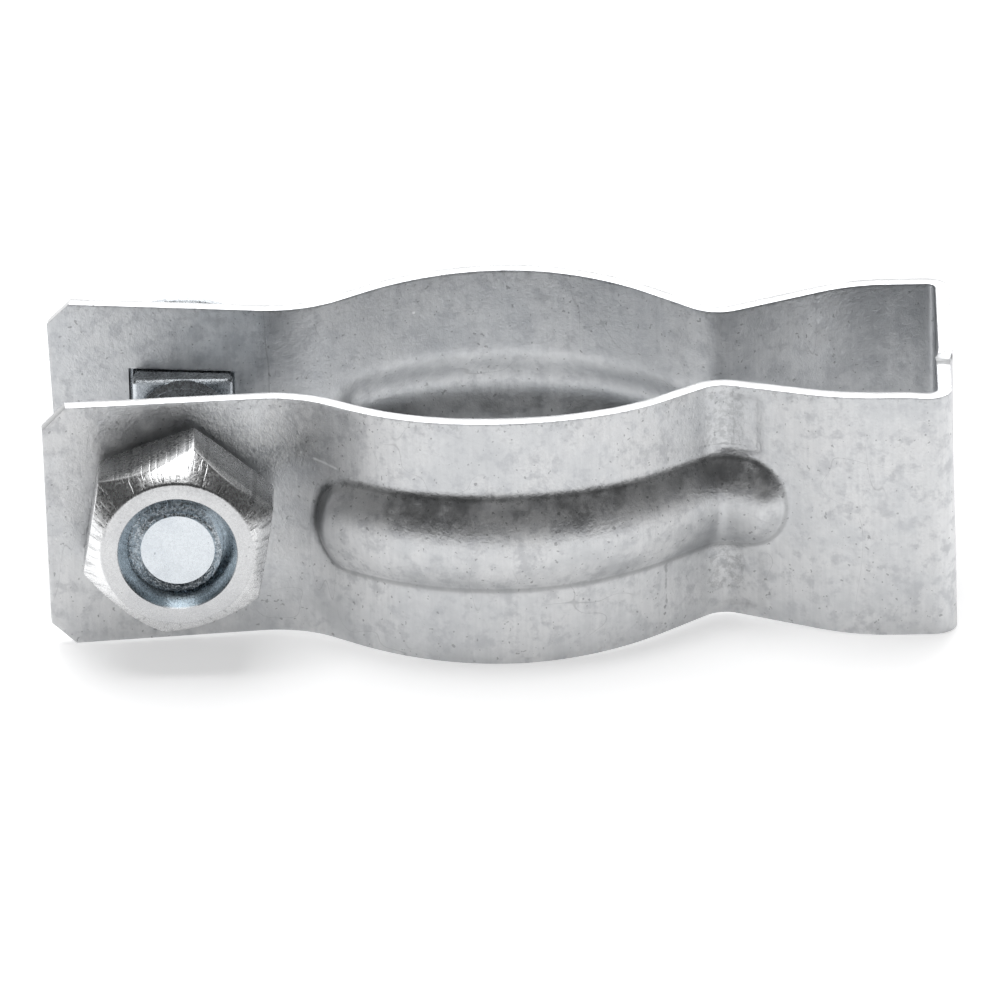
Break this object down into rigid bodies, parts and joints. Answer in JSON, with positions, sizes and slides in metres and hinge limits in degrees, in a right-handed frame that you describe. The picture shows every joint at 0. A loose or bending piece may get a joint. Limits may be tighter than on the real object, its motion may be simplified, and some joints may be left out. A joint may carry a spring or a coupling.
{
  "type": "conduit strap",
  "caption": "Two-leg pipe and conduit strap folded from ribbed sheet steel, closed round the pipe by a carriage bolt and hex nut, and screwed down through its base.",
  "frame": {"origin": "on the axis of the conduit, level with the edges of the strip that the strap stands on", "axes": "+Z along the conduit, +X from the conduit to the base plate, the nut on the -Y leg and the bolt head on the +Y leg"},
  "size_m": [0.0567, 0.0273, 0.0163],
  "materials": {
    "zinc_sheet": "zinc-plated sheet steel, matte and mottled",
    "zinc_bolt": "bright zinc-plated steel",
    "zinc_nut": "bright zinc-plated steel with a darker turned face"
  },
  "bodies": {
    "strap": {"strap": "zinc_sheet"},
    "nut": {"hex_nut": "zinc_nut"},
    "bolt": {"carriage_bolt": "zinc_bolt"}
  },
  "joints": [
    {"name": "nut_turn", "type": "hinge", "parent": "strap", "child": "nut", "pos_m": [-0.01995, -0.011, 0.0086], "axis": [0, -1, 0], "range_deg": [0, 900]},
    {"name": "bolt_travel", "type": "slide", "parent": "strap", "child": "bolt", "axis": [0, 1, 0], "range_m": [0, 0.00317]}
  ],
  "couplings": [
    {"joint": "nut_turn", "follows": "bolt_travel", "rad_per_m": 4947.4}
  ]
}
